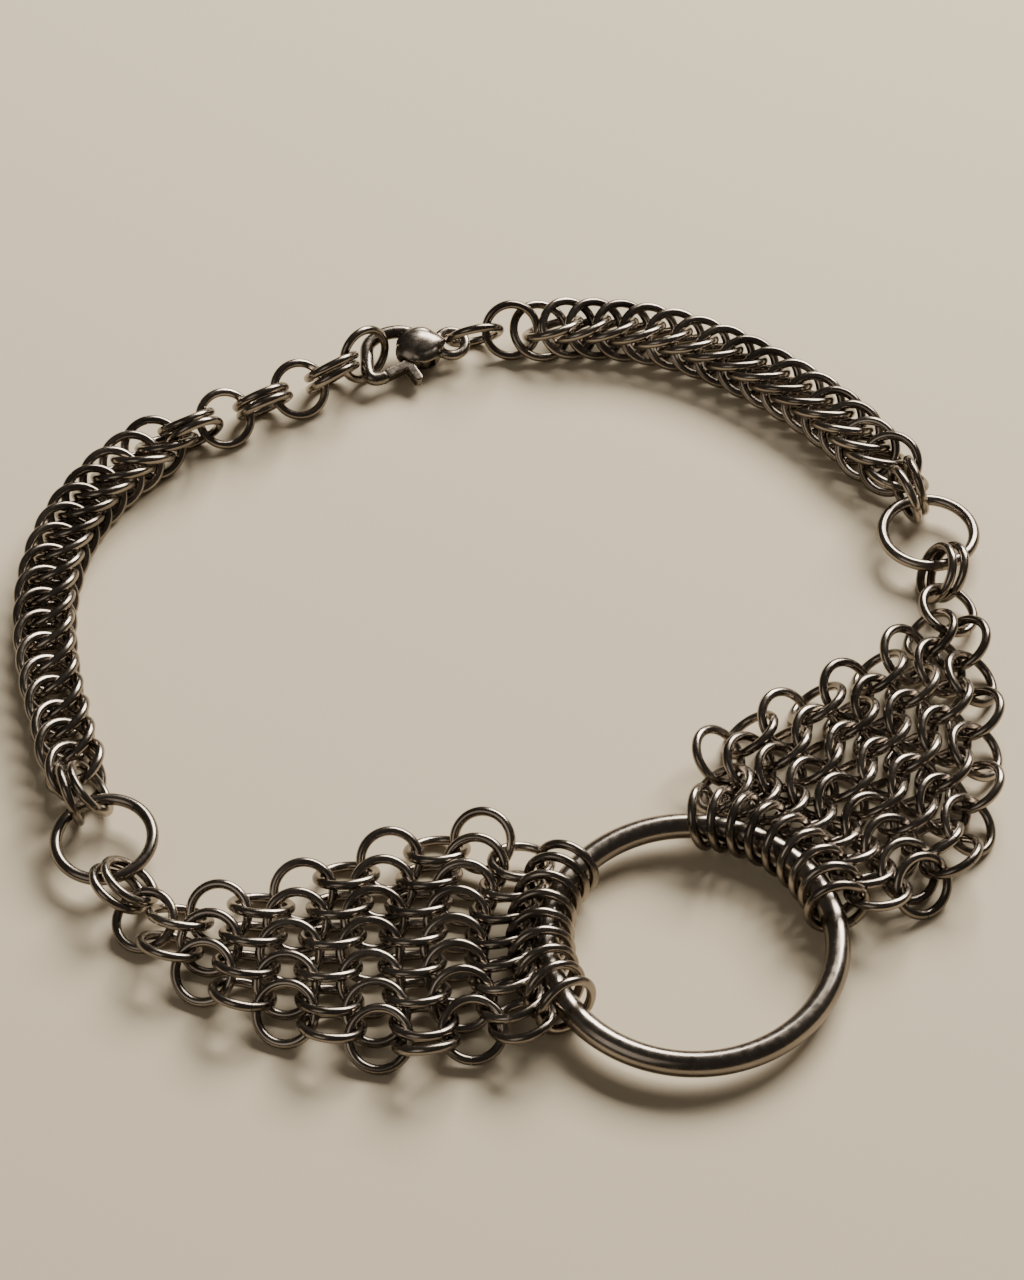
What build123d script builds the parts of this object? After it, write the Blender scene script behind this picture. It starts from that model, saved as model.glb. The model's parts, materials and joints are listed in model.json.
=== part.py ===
from build123d import *
from collections import namedtuple
import math
import numpy
import os

# Chain mail necklace, lying on its back on a flat floor: a plain centre ring in front carries two
# three-cornered mail panels, each panel's tip hangs on a connector ring, and two woven chains run from
# there to an extender and a lobster clasp. Lengths in mm, angles in degrees.
# The layout is worked out round the centre ring's middle, with X to the right, Y away from the front
# and the floor at Z = 0. At the end it is moved so that the origin is under the middle of the whole.

# Jump rings of the mail and the extender, and the slightly wider ones of the woven chains
ring_wire = 1.25
ring_bore = 6.35
chain_bore = 6.9
clearance = 0.13

# Centre ring and connector rings
centre_wire = 3.3
centre_bore = 33.4
connector_wire = 1.6
connector_bore = 11.0

# Mail panels: tilt of the rings, of each tip ring and of the rings that go round the centre ring
mail_tilt = 40
tip_tilt = 22
wrap_tilt = 64
mail_row_step = 5.05
mail_ring_step = 4.65
wrap_step = 3.25

# Side chains: longest pitch of a pair of rings, how far the two rows of rings lie apart, and the
# tilt of a ring along the chain and across it
chain_pitch_limit = 4.1
chain_row_gap = 0.8
chain_tilt = 17
chain_roll = 30

# Plain links: how far pairs and single rings lean from upright
pair_lean = 35
left_tip_lean = -50
right_tip_lean = 35
left_chain_lean = -18
right_chain_lean = -20
single_lean = -45

# Lobster clasp: reach from the eye's middle to the hook's outer end, width across the body, the round
# bar of the hook, the eye, the bulging shell that carries the lever (the place of its middle beyond the
# eye and its size), and the lever itself
clasp_reach = 14.0
clasp_width = 9.2
hook_bar = 2.0
eye_bore = 2.7
eye_bar = 1.5
shell_place = 4.5
shell_length = 5.4
shell_width = 6.6
shell_thickness = 3.6
shell_rounding = 1.3
lever_thickness = 1.6
lever_width = 1.4
lever_root = 1.25
lever_angle = 17.5
lever_travel = 18
trigger_height = 2.0
pin_diameter = 1.0
pin_clearance = 0.05
slot_clearance = 0.15

# How the clasp lies on its two neighbours' wires: place of its eye, direction from the eye to the hook,
# height of its lowest point, and how far the hook's end and the lever's side dip
clasp_place = (-28.7, 108.9)
clasp_heading = 194
clasp_lift = 0.6
clasp_dip = -3
clasp_roll = 12

# Where the chains lie: chosen points of each chain's middle line from its first ring to its last, the
# directions of its two ends, the places of the connector rings and those of the extender's links
left_chain_route = [(-79.0, 29.6), (-83.8, 48.0), (-85.0, 62.0), (-79.8, 79.6), (-69.2, 91.0)]
right_chain_route = [(-16.5, 110.2), (2.0, 108.3), (17.4, 98.8), (28.6, 86.8), (33.8, 78.0)]
left_chain_ends = (107, 42)
right_chain_ends = (5, -62)
left_connector_place = (-75.1, 19.0)
right_connector_place = (37.0, 68.8)
extender_route = [
    (-66.0, 91.7),
    (-61.1, 94.7),
    (-55.9, 97.0),
    (-50.7, 99.9),
    (-45.8, 102.0),
    (-40.4, 105.0),
]

# Middle line of the hook from the eye to the curl, and the lever's pivot, as shares of the clasp's
# reach and width
hook_line = [(0.19, -0.01), (0.42, -0.34), (0.66, -0.385), (0.85, -0.24), (0.915, 0.05)]
pivot_share = (0.33, 0.19)

# How much of the room between its pivot and the hook the lever takes, the trigger's place along the
# lever, and the places of the two links along the way from the clasp's eye to the right chain
lever_share = 0.87
trigger_share = 0.42
clasp_link_shares = (0.29, 0.62)

# Easing of the rings, turn by turn: the share of each overlap that is taken back, the pull of a ring
# to its first place and first tilt, how far it sinks, how fast pull and sinking fade over the turns,
# and how near two wires' middles are when they are looked at
settle_turns = 1000
push_share = 0.35
place_pull = 0.02
tilt_pull = 0.03
sink_step = ring_wire * 0.008
fade_rate = 1.4
look_range = ring_wire * 2.4

mean_radius = (ring_bore + ring_wire) / 2
pair_gap = ring_wire + clearance
centre_radius = (centre_bore + centre_wire) / 2
connector_radius = (connector_bore + connector_wire) / 2
lever_pivot = Vector(pivot_share[0] * clasp_reach, pivot_share[1] * clasp_width)
up = Vector(0, 0, 1)

Ring = namedtuple("Ring", "centre normal bore wire")

# Rows of a mail panel, from the tip to the centre ring. rings: how many; reach: how far the row's middle
# lies beyond the wrap row, in row steps; turn: the middle's place about the centre ring; lean: the row's
# turn from square on; bend: its curve, where 1 follows the centre ring; pitch: its share of the ring step.
MailRow = namedtuple("MailRow", "rings reach turn lean bend pitch")
left_rows = [
    MailRow(1, 9.95, 174.1, 16.0, 0.00, 1.00),
    MailRow(2, 9.10, 176.0, 15.0, 0.00, 0.94),
    MailRow(3, 8.20, 177.4, 13.5, 0.00, 0.94),
    MailRow(4, 7.20, 178.7, 10.5, 0.00, 0.97),
    MailRow(5, 6.20, 179.6, 7.5, 0.00, 1.00),
    MailRow(6, 5.20, 179.6, 5.5, 0.20, 1.01),
    MailRow(7, 4.15, 179.1, 3.0, 0.40, 1.02),
    MailRow(8, 3.15, 178.6, 1.5, 0.50, 1.00),
    MailRow(8, 2.15, 175.2, 0.0, 0.62, 0.98),
    MailRow(8, 1.14, 178.2, 0.0, 0.90, 0.87),
    MailRow(9, 0.00, 177.5, 0.0, 1.00, 0.98),
]
right_rows = [
    MailRow(1, 9.24, 55.4, 24.0, 0.00, 1.00),
    MailRow(2, 8.33, 52.7, 20.0, 0.00, 1.05),
    MailRow(3, 7.35, 50.7, 13.0, 0.00, 1.06),
    MailRow(4, 6.40, 49.1, 9.0, 0.00, 1.07),
    MailRow(5, 5.28, 48.0, 6.0, 0.00, 1.05),
    MailRow(6, 4.38, 46.6, 6.5, 0.00, 1.06),
    MailRow(7, 3.52, 45.3, 6.5, 0.12, 1.06),
    MailRow(8, 2.75, 44.8, 5.5, 0.35, 1.03),
    MailRow(9, 2.00, 44.9, 4.0, 0.62, 1.00),
    MailRow(8, 1.14, 45.2, 0.0, 0.90, 0.89),
    MailRow(9, 0.00, 45.8, 0.0, 1.00, 1.01),
]


def heading(angle):
    """Unit vector in the floor's plane."""
    return Vector(math.cos(math.radians(angle)), math.sin(math.radians(angle)), 0)


def tilted(side, angle):
    """Normal of a ring that is tilted towards side by angle from lying flat."""
    return side * math.sin(math.radians(angle)) + up * math.cos(math.radians(angle))


def rest_height(normal, bore, wire):
    """Height of a ring's middle when its lowest point touches the floor."""
    return (bore + wire) / 2 * math.sqrt(max(0, 1 - normal.Z**2)) + wire / 2


def floor_ring(place, normal, bore, wire, lift=0):
    """Ring at a place in plan, resting on the floor or lifted off it."""
    height = rest_height(normal, bore, wire) + lift
    return Ring(Vector(place.X, place.Y, height), normal, bore, wire)


wrap_radius = centre_bore / 2 + ring_bore / 2 - clearance * 2


def panel_rings(rows, side):
    """Rings of one mail panel: side is 1 where its rows run counter-clockwise about the centre ring."""
    rings = []
    for number, row in enumerate(rows, start=1):
        reach = wrap_radius + row.reach * mail_row_step
        middle = heading(row.turn) * reach
        along = heading(row.turn + side * (90 - row.lean))
        inward = heading(row.turn + side * (180 - row.lean))
        wraps = number == len(rows)
        step = wrap_step if wraps else mail_ring_step
        for place in range(row.rings):
            offset = (place - (row.rings - 1) / 2) * step * row.pitch
            if row.bend:
                radius = reach / row.bend
                arc = offset / radius
                centre = middle + along * radius * math.sin(arc) + inward * radius * (1 - math.cos(arc))
                forward = along * math.cos(arc) + inward * math.sin(arc)
            else:
                centre = middle + along * offset
                forward = along
            tilt = wrap_tilt if wraps else mail_tilt if number > 1 else tip_tilt
            normal = tilted(forward, tilt if number % 2 else -tilt)
            rings.append(floor_ring(centre, normal, ring_bore, ring_wire))
    return rings


def chain_rings(points, ends, hand):
    """Rings of one woven chain along a smooth line with these end directions; hand 1 or -1 mirrors it."""
    path = Spline(*points, tangents=[heading(end) for end in ends])
    units = math.ceil(path.length / chain_pitch_limit)
    rings = []
    for place in range(2 * units):
        share = (place + 0.5) / (2 * units)
        along = path % share
        across = up.cross(along)
        turn = -1 if place % 2 else 1
        tip = along * math.sin(math.radians(chain_tilt)) * hand
        roll = across * math.cos(math.radians(chain_tilt)) * math.sin(math.radians(chain_roll))
        rise = up * math.cos(math.radians(chain_tilt)) * math.cos(math.radians(chain_roll))
        middle = path @ share + across * turn * chain_row_gap / 2
        rings.append(floor_ring(middle, rise + (tip - roll) * turn, chain_bore, ring_wire))
    return rings


def link_normal(along, lean):
    """Normal of a link that holds its neighbours along a line, leaning sideways from upright."""
    across = up.cross(along).normalized()
    return across * math.cos(math.radians(lean)) + along.cross(across) * math.sin(math.radians(lean))


def ring_point(ring, way):
    """Middle of a ring's wire on its side towards way."""
    spoke = (way - ring.normal * way.dot(ring.normal)).normalized()
    return ring.centre + spoke * (ring.bore + ring.wire) / 2


def jump_pair(first, second, lean):
    """Two jump rings side by side that hold the near sides of two rings, down on the floor."""
    way = flat(second.centre - first.centre).normalized()
    middle = (ring_point(first, way) + ring_point(second, -way)) / 2
    normal = link_normal(way, lean)
    lift = abs(normal.Z) * pair_gap / 2
    height = max(middle.Z, rest_height(normal, ring_bore, ring_wire) + lift)
    centre = Vector(middle.X, middle.Y, height)
    return [
        Ring(centre + normal * pair_gap * shift, normal, ring_bore, ring_wire) for shift in (-0.5, 0.5)
    ]


def connector(place):
    """Connector ring lying flat, with room under it for the wire of the jump rings."""
    height = ring_wire + clearance * 2 + connector_wire / 2
    return Ring(Vector(*place, height), up, connector_bore, connector_wire)


def extender():
    """Extender: pairs and single rings by turns, from the chain's last ring to the clasp."""
    places = [Vector(*place) for place in extender_route]
    nodes = {}
    for number, place in enumerate(places):
        way = (places[min(number + 1, len(places) - 1)] - places[max(number - 1, 0)]).normalized()
        count, name, lean = (1, "ring", single_lean) if number % 2 else (2, "pair", pair_lean)
        normal = link_normal(way, lean)
        lift = abs(normal.Z) * pair_gap * (count - 1) / 2
        middle = floor_ring(place, normal, ring_bore, ring_wire, lift)
        shifts = [(turn - (count - 1) / 2) * pair_gap for turn in range(count)]
        nodes[f"extender_{name}_{number // 2 + 1}"] = [
            Ring(middle.centre + normal * shift, normal, ring_bore, ring_wire) for shift in shifts
        ]
    return nodes


def clasp_plane():
    """Plane of the clasp: its origin in the eye, x towards the hook, y towards the lever."""
    way = heading(clasp_heading)
    along = way * math.cos(math.radians(clasp_dip)) - up * math.sin(math.radians(clasp_dip))
    aside = up.cross(way)
    rise = along.cross(aside)
    face = rise * math.cos(math.radians(clasp_roll)) + aside * math.sin(math.radians(clasp_roll))
    plane = Plane(origin=(0, 0, 0), x_dir=along, z_dir=face)
    low = min(solid.bounding_box().min.Z for solid in (plane * piece for piece in clasp()))
    return Plane(origin=(*clasp_place, clasp_lift - low), x_dir=along, z_dir=face)


def clasp_stand_ins(plane):
    """Rings that take the place of the clasp's eye, of its hook and of the hook with the lever pushed in."""
    along = clasp_reach - clasp_width / 2
    slope = math.tan(math.radians(lever_angle - lever_travel))
    lever_side = lever_pivot.Y + (along - lever_pivot.X) * slope - lever_width / 2
    hook_side = min(across for _, across in hook_line) * clasp_width + hook_bar / 2 + clearance * 2
    room = lever_side - hook_side
    hook_middle = plane.from_local_coords((along, 0))
    room_middle = plane.from_local_coords((along, (lever_side + hook_side) / 2))
    return [
        Ring(plane.origin, plane.z_dir, eye_bore, eye_bar),
        Ring(hook_middle, plane.z_dir, clasp_width - hook_bar * 2, hook_bar + clearance * 3),
        Ring(room_middle, plane.z_dir, room, clasp_reach - along - room / 2 + clearance),
    ]


def clasp():
    """Body and lever of the clasp."""
    way = heading(lever_angle)
    aside = up.cross(way)
    points = [Vector(along * clasp_reach, across * clasp_width) for along, across in hook_line]
    lever_reach = (points[-1].X - hook_bar / 2 - lever_pivot.X) * lever_share
    tip = lever_pivot + way * (lever_reach + slot_clearance)
    line = Spline(*points, tip, tangents=[points[1] - points[0], -way])
    body = sweep(Plane(origin=line @ 0, z_dir=line % 0) * Circle(hook_bar / 2), path=line)
    body += Torus((eye_bore + eye_bar) / 2, eye_bar / 2)
    shell = extrude(Rot(0, 0, 90) * SlotOverall(shell_width, shell_length), shell_thickness / 2, both=True)
    rims = shell.edges().filter_by(Plane.XY)
    body += Pos(shell_place, 0) * fillet(rims, shell_rounding)
    slot = lever_thickness + slot_clearance * 2
    room = lever_root + slot_clearance
    free = Pos(*lever_pivot) * Cylinder(room, slot)
    free += Pos(lever_pivot.X - room, lever_pivot.Y - room) * Box(
        shell_length, shell_width, slot, align=(Align.MIN, Align.MIN, Align.CENTER)
    )
    body -= free
    body += Pos(*lever_pivot) * Cylinder(pin_diameter / 2, (slot + shell_thickness) / 2)

    lever = Cylinder(lever_root, lever_thickness)
    arm = Pos(lever_reach / 2, 0) * Box(lever_reach, lever_width, lever_thickness)
    grip = Pos(lever_reach * trigger_share, lever_width / 2 + trigger_height / 2)
    trigger = grip * Box(lever_width, trigger_height, lever_thickness)
    crown = grip * Pos(0, trigger_height / 2) * Cylinder(lever_width / 2, lever_thickness)
    lever = lever + arm + trigger + crown
    lever -= Cylinder(pin_diameter / 2 + pin_clearance, lever_thickness * 2)
    lever = Pos(*lever_pivot) * Rot(0, 0, lever_angle) * lever
    return body, lever


def layout(lying):
    """All rings of the necklace, by node."""
    nodes = {}
    lift = ring_wire + clearance * 2 + centre_wire / 2
    nodes["centre_ring"] = [Ring(Vector(0, 0, lift), up, centre_bore, centre_wire)]
    nodes["left_panel"] = panel_rings(left_rows, 1)
    nodes["right_panel"] = panel_rings(right_rows, -1)
    nodes["left_connector"] = [connector(left_connector_place)]
    nodes["right_connector"] = [connector(right_connector_place)]
    nodes["left_chain"] = chain_rings(left_chain_route, left_chain_ends, -1)
    nodes["right_chain"] = chain_rings(right_chain_route, right_chain_ends, 1)
    for side, last, tip_lean, chain_lean in (
        ("left", 0, left_tip_lean, left_chain_lean),
        ("right", -1, right_tip_lean, right_chain_lean),
    ):
        ring = nodes[side + "_connector"][0]
        nodes[side + "_tip_pair"] = jump_pair(nodes[side + "_panel"][0], ring, tip_lean)
        nodes[side + "_chain_pair"] = jump_pair(ring, nodes[side + "_chain"][last], chain_lean)
    nodes.update(extender())
    nodes["clasp_stand_ins"] = clasp_stand_ins(lying)
    eye = flat(lying.origin)
    span = flat(nodes["right_chain"][0].centre) - eye
    for number, (share, lean) in enumerate(zip(clasp_link_shares, (pair_lean, single_lean)), start=1):
        normal = link_normal(span.normalized(), lean)
        nodes[f"clasp_link_{number}"] = [floor_ring(eye + span * share, normal, ring_bore, ring_wire)]
    return settle(nodes, ("centre_ring", "clasp_stand_ins"))


def nearest(middles, normals, radii, pairs, samples=28):
    """Closest points of each pair of ring circles, as many as there are: pair, point, away, distance."""
    first, second = pairs
    helper = numpy.where(abs(normals[:, 2:]) < 0.9, [[0.0, 0.0, 1.0]], [[1.0, 0.0, 0.0]])
    spoke = numpy.cross(helper, normals)
    spoke /= numpy.linalg.norm(spoke, axis=1)[:, None]
    other = numpy.cross(normals, spoke)

    def across(turns, rows):
        ring, target = first[rows], second[rows]
        radius = radii[ring][:, None, None]
        point = middles[ring][:, None] + radius * (
            numpy.cos(turns)[..., None] * spoke[ring][:, None]
            + numpy.sin(turns)[..., None] * other[ring][:, None]
        )
        seen = point - middles[target][:, None]
        height = numpy.einsum("pij,pj->pi", seen, normals[target])[..., None] * normals[target][:, None]
        level = seen - height
        size = numpy.maximum(numpy.linalg.norm(level, axis=2, keepdims=True), 1e-9)
        return point, height + level * (1 - radii[target][:, None, None] / size)

    turns = numpy.linspace(0, 2 * math.pi, samples, endpoint=False)
    every = numpy.arange(len(first))
    gaps = (across(numpy.tile(turns, (len(first), 1)), every)[1] ** 2).sum(axis=2)
    before, after = numpy.roll(gaps, 1, axis=1), numpy.roll(gaps, -1, axis=1)
    rows, places = numpy.where((gaps < before) & (gaps <= after) & (gaps < look_range**2))
    low, here, high = before[rows, places], gaps[rows, places], after[rows, places]
    best = turns[places] + math.pi / samples * (low - high) / (low - 2 * here + high)
    point, away = across(best[:, None], rows)
    return rows, point[:, 0], away[:, 0], numpy.linalg.norm(away[:, 0], axis=1)


def settle(nodes, held):
    """Rings eased apart until every two wires lie clear of each other, and down onto the floor."""
    rings = [ring for name in nodes for ring in nodes[name]]
    middles = numpy.array([tuple(ring.centre) for ring in rings])
    normals = numpy.array([tuple(ring.normal.normalized()) for ring in rings])
    radii = numpy.array([(ring.bore + ring.wire) / 2 for ring in rings])
    wires = numpy.array([ring.wire / 2 for ring in rings])
    ease = numpy.array([(ring_wire / ring.wire) ** 3 for ring in rings])
    ease[[name in held for name in nodes for ring in nodes[name]]] = 0
    start_middles, start_normals = middles.copy(), normals.copy()
    for turn in range(settle_turns):
        if turn % 10 == 0:
            apart = numpy.linalg.norm(middles[:, None] - middles[None], axis=2)
            near = apart < radii[:, None] + radii[None] + look_range
            free = ease[:, None] + ease[None] > 0
            first, second = numpy.where(numpy.triu(near & free, 1))
            swap = radii[first] > radii[second]
            pairs = numpy.where(swap, second, first), numpy.where(swap, first, second)
        rows, point, away, distance = nearest(middles, normals, radii, pairs)
        ring, target = pairs[0][rows], pairs[1][rows]
        need = wires[ring] + wires[target] + clearance - distance
        close = need > 0
        ring, target, point, need = ring[close], target[close], point[close], need[close]
        push = away[close] / distance[close][:, None] * need[:, None] * push_share
        share = (ease[ring] / numpy.maximum(ease[ring] + ease[target], 1e-9))[:, None]
        seat = point - away[close]
        moves, turns = numpy.zeros_like(middles), numpy.zeros_like(middles)
        numpy.add.at(moves, ring, push * share)
        numpy.add.at(moves, target, -push * (1 - share))
        lever = numpy.cross(point - middles[ring], push) * share
        numpy.add.at(turns, ring, lever / radii[ring][:, None] ** 2)
        lever = numpy.cross(seat - middles[target], -push) * (1 - share)
        numpy.add.at(turns, target, lever / radii[target][:, None] ** 2)
        calm = max(0, 1 - turn / settle_turns * fade_rate)
        moves += (start_middles - middles) * ease[:, None] * place_pull * calm
        moves[:, 2] -= sink_step * ease * calm
        normals += numpy.cross(turns, normals) + (start_normals - normals) * tilt_pull * calm
        normals /= numpy.linalg.norm(normals, axis=1)[:, None]
        middles += moves
        floor = radii * numpy.sqrt(numpy.maximum(0, 1 - normals[:, 2] ** 2)) + wires
        middles[:, 2] = numpy.maximum(middles[:, 2], floor)
    settled = iter(zip(middles, normals))
    result = {}
    for name in nodes:
        result[name] = []
        for ring in nodes[name]:
            middle, normal = next(settled)
            result[name].append(Ring(Vector(*middle), Vector(*normal), ring.bore, ring.wire))
    for name in held:
        result[name] = nodes[name]
    return result


def flat(point):
    """The point's place on the floor."""
    return Vector(point.X, point.Y)


def build(ring):
    """Solid of one ring: round wire bent to a full circle."""
    torus = Torus((ring.bore + ring.wire) / 2, ring.wire / 2)
    return Plane(origin=ring.centre, z_dir=ring.normal) * torus


def main():
    lying = clasp_plane()
    rings = layout(lying)
    nodes = {name: [build(ring) for ring in rings[name]] for name in rings if name != "clasp_stand_ins"}
    body, lever = clasp()
    nodes["clasp_body"] = [lying * body]
    nodes["clasp_lever"] = [lying * lever]
    boxes = [solid.bounding_box() for solids in nodes.values() for solid in solids]
    low = Vector(*(min(getattr(box.min, axis) for box in boxes) for axis in "XYZ"))
    high = Vector(*(max(getattr(box.max, axis) for box in boxes) for axis in "XYZ"))
    to_origin = Pos(-(low.X + high.X) / 2, -(low.Y + high.Y) / 2, -low.Z)
    os.makedirs("parts", exist_ok=True)
    for name, solids in nodes.items():
        export_step(to_origin * Compound(children=solids), f"parts/{name}.step")
    pivot = lying.from_local_coords(lever_pivot)
    print("moved by", to_origin.position)
    print("lever's axis through", to_origin.position + pivot, "along", lying.z_dir)


if __name__ == "__main__":
    main()
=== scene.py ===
import bpy
import json
import math
import random
import numpy
from mathutils import Matrix, Vector


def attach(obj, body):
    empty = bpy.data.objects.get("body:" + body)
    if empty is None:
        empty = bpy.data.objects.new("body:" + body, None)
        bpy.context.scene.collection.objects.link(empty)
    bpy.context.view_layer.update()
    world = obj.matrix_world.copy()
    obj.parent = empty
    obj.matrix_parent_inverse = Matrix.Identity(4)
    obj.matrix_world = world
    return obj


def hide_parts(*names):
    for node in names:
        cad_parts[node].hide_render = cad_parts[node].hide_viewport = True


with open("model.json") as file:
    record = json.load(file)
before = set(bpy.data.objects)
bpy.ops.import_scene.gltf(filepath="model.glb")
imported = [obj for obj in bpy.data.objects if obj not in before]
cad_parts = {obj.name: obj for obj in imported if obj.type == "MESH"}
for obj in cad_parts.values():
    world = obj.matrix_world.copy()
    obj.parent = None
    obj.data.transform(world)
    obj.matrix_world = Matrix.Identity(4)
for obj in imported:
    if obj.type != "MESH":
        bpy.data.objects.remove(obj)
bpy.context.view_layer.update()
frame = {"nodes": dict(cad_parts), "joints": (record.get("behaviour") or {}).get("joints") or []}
print("frame loaded")

mm = 0.001
mergeDistance = 0.001 * mm
smoothAngle = math.radians(40)

# Steel of the rings, the thick rings and the clasp: two tones of the metal and the size of their
# clouds, how glossy it is where least and most rubbed, and how fine and deep its marks are
ringSteel = {
    "name": "ring_steel",
    "dark": (0.175, 0.150, 0.126, 1),
    "light": (0.34, 0.298, 0.255, 1),
    "cloudScale": 120,
    "glossy": 0.17,
    "dull": 0.27,
    "markScale": 1800,
    "markDepth": 0.003 * mm,
}
thickSteel = {
    "name": "thick_ring_steel",
    "dark": (0.20, 0.173, 0.147, 1),
    "light": (0.34, 0.298, 0.255, 1),
    "cloudScale": 60,
    "glossy": 0.18,
    "dull": 0.28,
    "markScale": 1100,
    "markDepth": 0.003 * mm,
}
claspSteel = {
    "name": "clasp_steel",
    "dark": (0.17, 0.147, 0.122, 1),
    "light": (0.27, 0.236, 0.200, 1),
    "cloudScale": 160,
    "glossy": 0.20,
    "dull": 0.32,
    "markScale": 1500,
    "markDepth": 0.006 * mm,
}

# What all three have alike: where the clouds turn from dark to light, how rich clouds and marks
# are, how much of the marks' range is used, and how strong they stand
steelPattern = {
    "tonesFrom": 0.36,
    "tonesTo": 0.64,
    "cloudDetail": 2,
    "markDetail": 3,
    "marksFrom": 0.3,
    "marksTo": 0.7,
    "markStrength": 0.3,
}


def steelMaterial(spec):
    material = bpy.data.materials.new(spec["name"])
    material.use_nodes = True
    nodes = material.node_tree.nodes
    links = material.node_tree.links
    shader = nodes["Principled BSDF"]
    shader.inputs["Metallic"].default_value = 1.0
    place = nodes.new("ShaderNodeTexCoord")
    # soft clouds of the darkened skin, worn lighter in between
    clouds = nodes.new("ShaderNodeTexNoise")
    clouds.inputs["Scale"].default_value = spec["cloudScale"]
    clouds.inputs["Detail"].default_value = steelPattern["cloudDetail"]
    tones = nodes.new("ShaderNodeValToRGB")
    tones.color_ramp.elements[0].position = steelPattern["tonesFrom"]
    tones.color_ramp.elements[0].color = spec["dark"]
    tones.color_ramp.elements[1].position = steelPattern["tonesTo"]
    tones.color_ramp.elements[1].color = spec["light"]
    # fine rubbing marks, which make the gloss a little uneven
    marks = nodes.new("ShaderNodeTexNoise")
    marks.inputs["Scale"].default_value = spec["markScale"]
    marks.inputs["Detail"].default_value = steelPattern["markDetail"]
    gloss = nodes.new("ShaderNodeMapRange")
    gloss.inputs["From Min"].default_value = steelPattern["marksFrom"]
    gloss.inputs["From Max"].default_value = steelPattern["marksTo"]
    gloss.inputs["To Min"].default_value = spec["glossy"]
    gloss.inputs["To Max"].default_value = spec["dull"]
    bump = nodes.new("ShaderNodeBump")
    bump.inputs["Strength"].default_value = steelPattern["markStrength"]
    bump.inputs["Distance"].default_value = spec["markDepth"]
    links.new(place.outputs["Object"], clouds.inputs["Vector"])
    links.new(clouds.outputs["Fac"], tones.inputs["Fac"])
    links.new(tones.outputs["Color"], shader.inputs["Base Color"])
    links.new(place.outputs["Object"], marks.inputs["Vector"])
    links.new(marks.outputs["Fac"], gloss.inputs["Value"])
    links.new(gloss.outputs["Result"], shader.inputs["Roughness"])
    links.new(marks.outputs["Fac"], bump.inputs["Height"])
    links.new(bump.outputs["Normal"], shader.inputs["Normal"])
    return material


ringMetal = steelMaterial(ringSteel)
thickMetal = steelMaterial(thickSteel)
claspMetal = steelMaterial(claspSteel)


def deselectAll():
    if bpy.context.object and bpy.context.object.mode != "OBJECT":
        bpy.ops.object.mode_set(mode="OBJECT")
    bpy.ops.object.select_all(action="DESELECT")


def pickOnly(things):
    deselectAll()
    for thing in things:
        thing.select_set(True)
    bpy.context.view_layer.objects.active = things[0]


# A jump ring: round wire bent to a circle, whose two cut ends meet in a fine seam at its +X side.
# Round and section are the number of faces along the wire and round it.
mailRing = {
    "radius": 3.8 * mm,
    "wire": 1.25 * mm,
    "round": 60,
    "section": 14,
    "seam": 0.05 * mm,
    "seamDepth": 0.16 * mm,
}
chainRing = {
    "radius": 4.075 * mm,
    "wire": 1.25 * mm,
    "round": 60,
    "section": 14,
    "seam": 0.05 * mm,
    "seamDepth": 0.16 * mm,
}
connectorRing = {
    "radius": 6.3 * mm,
    "wire": 1.6 * mm,
    "round": 96,
    "section": 20,
    "seam": 0.05 * mm,
    "seamDepth": 0.2 * mm,
}
centreRing = {
    "radius": 18.35 * mm,
    "wire": 3.3 * mm,
    "round": 200,
    "section": 36,
    "seam": 0,
    "seamDepth": 0,
}


def modelRing(spec, name):
    deselectAll()
    bpy.ops.mesh.primitive_torus_add(
        major_radius=spec["radius"],
        minor_radius=spec["wire"] / 2,
        major_segments=spec["round"],
        minor_segments=spec["section"],
    )
    ring = bpy.context.object
    ring.name = name
    if spec["seam"]:
        # the edge loop at +X becomes a narrow band, which is then sunk between the two ends
        for vertex in ring.data.vertices:
            vertex.select = abs(vertex.co.y) < mergeDistance and vertex.co.x > 0
        for edge in ring.data.edges:
            edge.select = all(ring.data.vertices[end].select for end in edge.vertices)
        for face in ring.data.polygons:
            face.select = False
        bpy.ops.object.mode_set(mode="EDIT")
        bpy.ops.mesh.select_mode(type="EDGE")
        bpy.ops.mesh.bevel(offset=spec["seam"], offset_type="OFFSET", segments=1, affect="EDGES")
        bpy.ops.mesh.select_mode(type="FACE")
        bpy.ops.mesh.extrude_region_shrink_fatten(
            TRANSFORM_OT_shrink_fatten={"value": -spec["seamDepth"]}
        )
        bpy.ops.mesh.select_all(action="SELECT")
        bpy.ops.mesh.normals_make_consistent(inside=False)
        bpy.ops.object.mode_set(mode="OBJECT")
    pickOnly([ring])
    bpy.ops.object.shade_smooth_by_angle(angle=smoothAngle)
    return ring


models = {
    "mail": modelRing(mailRing, "mail_ring_model"),
    "chain": modelRing(chainRing, "chain_ring_model"),
    "connector": modelRing(connectorRing, "connector_ring_model"),
    "centre": modelRing(centreRing, "centre_ring_model"),
}
print("rings modelled")


def mergedCopy(node, name):
    # a copy of the node's own mesh with its loose triangles joined
    piece = bpy.data.objects.new(name, frame["nodes"][node].data.copy())
    bpy.context.scene.collection.objects.link(piece)
    pickOnly([piece])
    bpy.ops.object.mode_set(mode="EDIT")
    bpy.ops.mesh.select_all(action="SELECT")
    bpy.ops.mesh.remove_doubles(threshold=mergeDistance)
    bpy.ops.object.mode_set(mode="OBJECT")
    return piece


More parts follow.
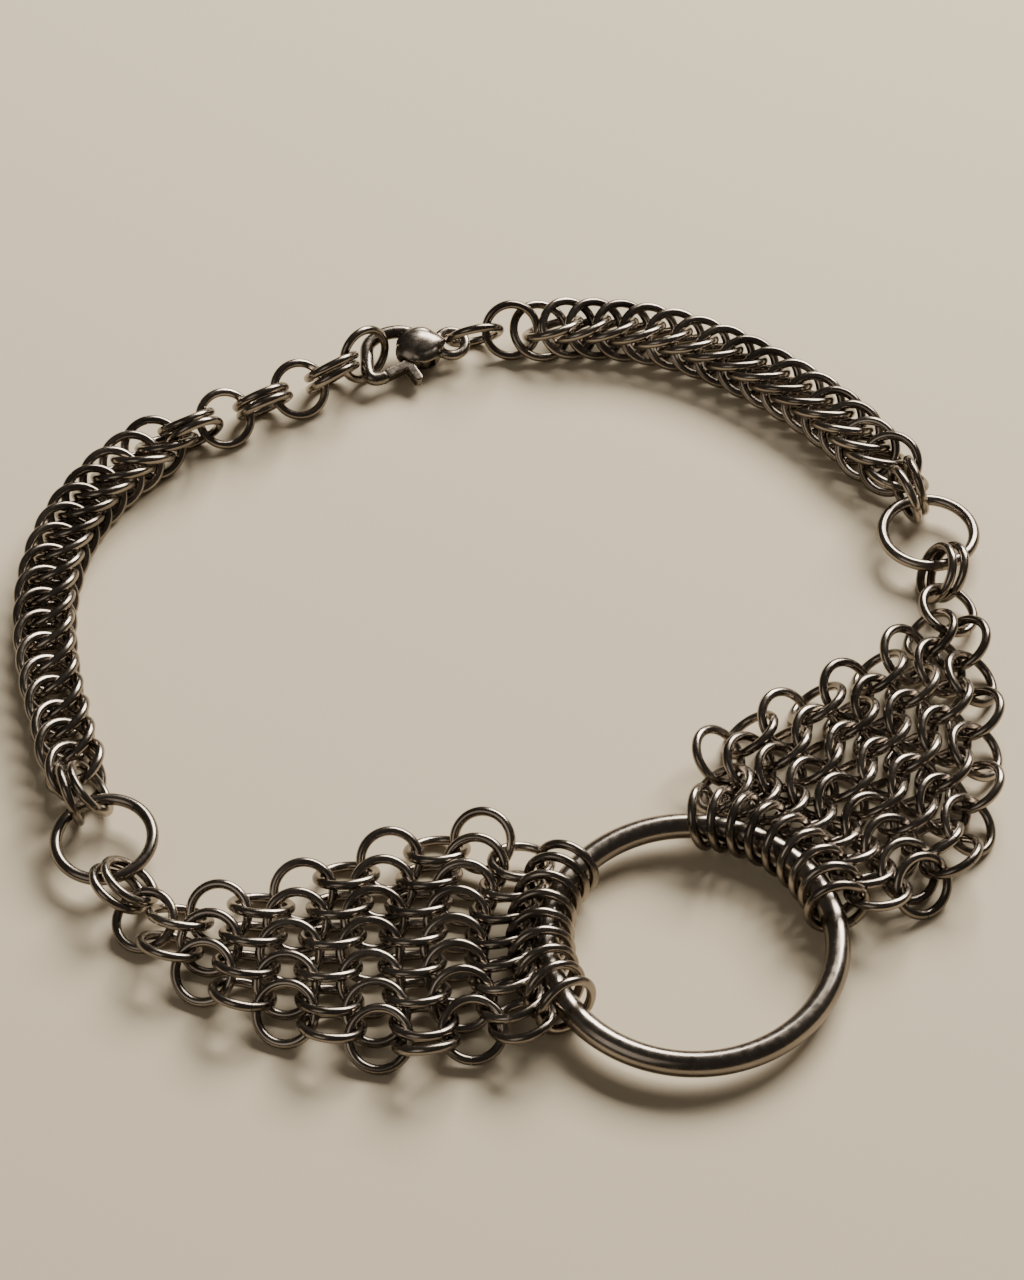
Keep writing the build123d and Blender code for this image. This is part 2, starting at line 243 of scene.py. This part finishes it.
def ringPlaces(node):
    # each loose ring of the node: its middle and its axis
    mergedCopy(node, "spare")
    bpy.ops.object.mode_set(mode="EDIT")
    bpy.ops.mesh.select_all(action="SELECT")
    bpy.ops.mesh.separate(type="LOOSE")
    bpy.ops.object.mode_set(mode="OBJECT")
    places = []
    for part in list(bpy.context.selected_objects):
        points = numpy.empty(len(part.data.vertices) * 3)
        part.data.vertices.foreach_get("co", points)
        points = points.reshape(-1, 3)
        middle = points.mean(axis=0)
        axes = numpy.linalg.svd(points - middle, full_matrices=False)[2]
        places.append((Vector(middle), Vector(axes[2])))
        data = part.data
        bpy.data.objects.remove(part)
        bpy.data.meshes.remove(data)
    return sorted(places, key=lambda place: tuple(round(value, 6) for value in place[0]))


def layRings(node, kind, material):
    # copies of one model at the node's places, joined into a piece that stands for the node;
    # each ring's seam points another way
    turns = random.Random(node)
    copies = []
    for middle, axis in ringPlaces(node):
        if axis.z < 0:
            axis = -axis
        copy = models[kind].copy()
        copy.data = models[kind].data.copy()
        bpy.context.scene.collection.objects.link(copy)
        turn = Matrix.Rotation(turns.uniform(0, 2 * math.pi), 4, "Z")
        tilt = axis.to_track_quat("Z", "Y").to_matrix().to_4x4()
        copy.matrix_world = Matrix.Translation(middle) @ tilt @ turn
        copies.append(copy)
    pickOnly(copies)
    bpy.ops.object.transform_apply(location=True, rotation=True, scale=True)
    if len(copies) > 1:
        bpy.ops.object.join()
    piece = bpy.context.object
    piece.name = node + "_rings"
    piece.data.materials.clear()
    piece.data.materials.append(material)
    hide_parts(node)
    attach(piece, "necklace")
    return piece


ringNodes = {
    "left_panel": "mail",
    "right_panel": "mail",
    "left_tip_pair": "mail",
    "right_tip_pair": "mail",
    "left_chain_pair": "mail",
    "right_chain_pair": "mail",
    "left_chain": "chain",
    "right_chain": "chain",
    "extender_pair_1": "mail",
    "extender_ring_1": "mail",
    "extender_pair_2": "mail",
    "extender_ring_2": "mail",
    "extender_pair_3": "mail",
    "extender_ring_3": "mail",
    "clasp_link_1": "mail",
    "clasp_link_2": "mail",
}
for node, kind in ringNodes.items():
    layRings(node, kind, ringMetal)
layRings("left_connector", "connector", thickMetal)
layRings("right_connector", "connector", thickMetal)
layRings("centre_ring", "centre", thickMetal)
for model in models.values():
    bpy.data.objects.remove(model)
print("rings laid")

# The lobster clasp is cast: its body swells to a drop shape with the lever's slot through it, and
# all its edges are soft. Places and sizes are in mm in the clasp's own plane: x to the hook, y to
# the lever, from the eye's middle. Neck is how far the drop narrows at the eye, and slot half the
# slot's width.
castClasp = {
    "heading": 194,
    "pivotPlace": (4.62, 1.748),
    "swellPlace": (4.55, -0.1, 0),
    "swellSize": (8.2, 6.9, 4.5),
    "facesRound": 48,
    "facesAlong": 24,
    "neck": 0.55,
    "neckCurve": 1.5,
    "slot": 0.95,
    "cell": 0.11,
    "softening": 7,
    "leverCell": 0.09,
    "leverSoftening": 14,
    "softenShare": 0.5,
}


def claspMatrix():
    # from the lever's hinge, whose axis stands square on the clasp's plane
    hinge = frame["joints"][0]
    face = Vector(hinge["axis"]).normalized()
    heading = math.radians(castClasp["heading"])
    way = Vector((math.cos(heading), math.sin(heading), 0))
    along = (way - face * way.dot(face)).normalized()
    across = face.cross(along)
    turn = Matrix((along, across, face)).transposed().to_4x4()
    pivotX, pivotY = castClasp["pivotPlace"]
    origin = Vector(hinge["pos_m"]) - (along * pivotX + across * pivotY) * mm
    return Matrix.Translation(origin) @ turn


def addCheek(side):
    # half of the drop-shaped swelling, on one side of the lever's slot
    size = castClasp["swellSize"]
    deselectAll()
    bpy.ops.mesh.primitive_uv_sphere_add(
        segments=castClasp["facesRound"],
        ring_count=castClasp["facesAlong"],
        radius=mm / 2,
        location=(0, 0, 0),
    )
    cheek = bpy.context.object
    cheek.name = "cheek"
    bpy.ops.object.mode_set(mode="EDIT")
    bpy.ops.mesh.select_all(action="SELECT")
    bpy.ops.transform.resize(value=size)
    bpy.ops.object.mode_set(mode="OBJECT")
    # narrower towards the eye
    for vertex in cheek.data.vertices:
        share = max(0.0, -vertex.co.x / (size[0] * mm / 2))
        vertex.co.y *= 1 - castClasp["neck"] * share ** castClasp["neckCurve"]
    bpy.ops.object.mode_set(mode="EDIT")
    bpy.ops.mesh.select_all(action="SELECT")
    bpy.ops.mesh.bisect(
        plane_co=(0, 0, side * castClasp["slot"] * mm),
        plane_no=(0, 0, side),
        use_fill=True,
        clear_inner=True,
        clear_outer=False,
    )
    bpy.ops.object.mode_set(mode="OBJECT")
    cheek.matrix_world = claspMatrix() @ Matrix.Translation(Vector(castClasp["swellPlace"]) * mm)
    return cheek


def cast(piece, cell, softening):
    # one closed skin with soft edges
    pickOnly([piece])
    skin = piece.modifiers.new("skin", "REMESH")
    skin.mode = "VOXEL"
    skin.voxel_size = cell * mm
    bpy.ops.object.modifier_apply(modifier="skin")
    soft = piece.modifiers.new("soft", "SMOOTH")
    soft.factor = castClasp["softenShare"]
    soft.iterations = softening
    bpy.ops.object.modifier_apply(modifier="soft")
    bpy.ops.object.shade_smooth()


def finishClasp(piece, node, body):
    piece.data.materials.clear()
    piece.data.materials.append(claspMetal)
    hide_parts(node)
    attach(piece, body)


claspShell = mergedCopy("clasp_body", "clasp_shell")
cheeks = [addCheek(side) for side in (-1, 1)]
pickOnly(cheeks)
bpy.ops.object.transform_apply(location=True, rotation=True, scale=True)
pickOnly([claspShell] + cheeks)
bpy.ops.object.join()
cast(claspShell, castClasp["cell"], castClasp["softening"])
finishClasp(claspShell, "clasp_body", "necklace")
trigger = mergedCopy("clasp_lever", "sprung_lever")
cast(trigger, castClasp["leverCell"], castClasp["leverSoftening"])
finishClasp(trigger, "clasp_lever", "lever")
print("clasp finished")

# Floor and light, in metres: places and sizes of the lamps, which point at the origin
stage = {
    "floorColour": (0.73, 0.635, 0.475, 1),
    "floorRoughness": 0.9,
    "floorSize": 3.0,
    "worldColour": (0.30, 0.27, 0.24, 1),
    "worldStrength": 0.22,
}
windowLamp = {
    "name": "window",
    "place": (0.42, 0.75, 0.66),
    "size": (0.8, 0.5),
    "power": 28,
    "colour": (1.0, 0.94, 0.85),
}
roomFill = {
    "name": "room_fill",
    "place": (-0.7, -0.7, 0.9),
    "size": (0.8, 0.8),
    "power": 1.5,
    "colour": (1.0, 0.92, 0.80),
}


def addFloor():
    deselectAll()
    bpy.ops.mesh.primitive_plane_add(size=stage["floorSize"])
    floor = bpy.context.object
    floor.name = "floor"
    material = bpy.data.materials.new("floor_paper")
    material.use_nodes = True
    shader = material.node_tree.nodes["Principled BSDF"]
    shader.inputs["Base Color"].default_value = stage["floorColour"]
    shader.inputs["Roughness"].default_value = stage["floorRoughness"]
    floor.data.materials.append(material)


def addWorld():
    world = bpy.data.worlds.new("studio")
    bpy.context.scene.world = world
    world.use_nodes = True
    background = world.node_tree.nodes["Background"]
    background.inputs["Color"].default_value = stage["worldColour"]
    background.inputs["Strength"].default_value = stage["worldStrength"]


def addLamp(spec):
    deselectAll()
    bpy.ops.object.light_add(type="AREA", location=spec["place"])
    lamp = bpy.context.object
    lamp.name = spec["name"]
    lamp.data.shape = "RECTANGLE"
    lamp.data.size, lamp.data.size_y = spec["size"]
    lamp.data.energy = spec["power"]
    lamp.data.color = spec["colour"]
    lamp.rotation_euler = (-Vector(spec["place"])).to_track_quat("-Z", "Y").to_euler()


addFloor()
addWorld()
addLamp(windowLamp)
addLamp(roomFill)

# The camera: focal length in pixels of the image's width, angles in degrees, place in mm
view = {
    "focal": 3455,
    "imageWidth": 1024,
    "sensorWidth": 36,
    "elevation": 49.5,
    "roll": -1.99,
    "place": (1.353, -300.32, 358.9),
    "nearest": 0.01,
    "farthest": 10,
}


def addCamera():
    deselectAll()
    bpy.ops.object.camera_add()
    camera = bpy.context.object
    camera.name = "camera"
    camera.data.sensor_fit = "HORIZONTAL"
    camera.data.sensor_width = view["sensorWidth"]
    camera.data.lens = view["focal"] / view["imageWidth"] * view["sensorWidth"]
    camera.data.clip_start = view["nearest"]
    camera.data.clip_end = view["farthest"]
    tilt = Matrix.Rotation(math.radians(90 - view["elevation"]), 4, "X")
    roll = Matrix.Rotation(math.radians(view["roll"]), 4, "Z")
    camera.matrix_world = Matrix.Translation(Vector(view["place"]) * mm) @ tilt @ roll
    bpy.context.scene.camera = camera


addCamera()
print("stage set")
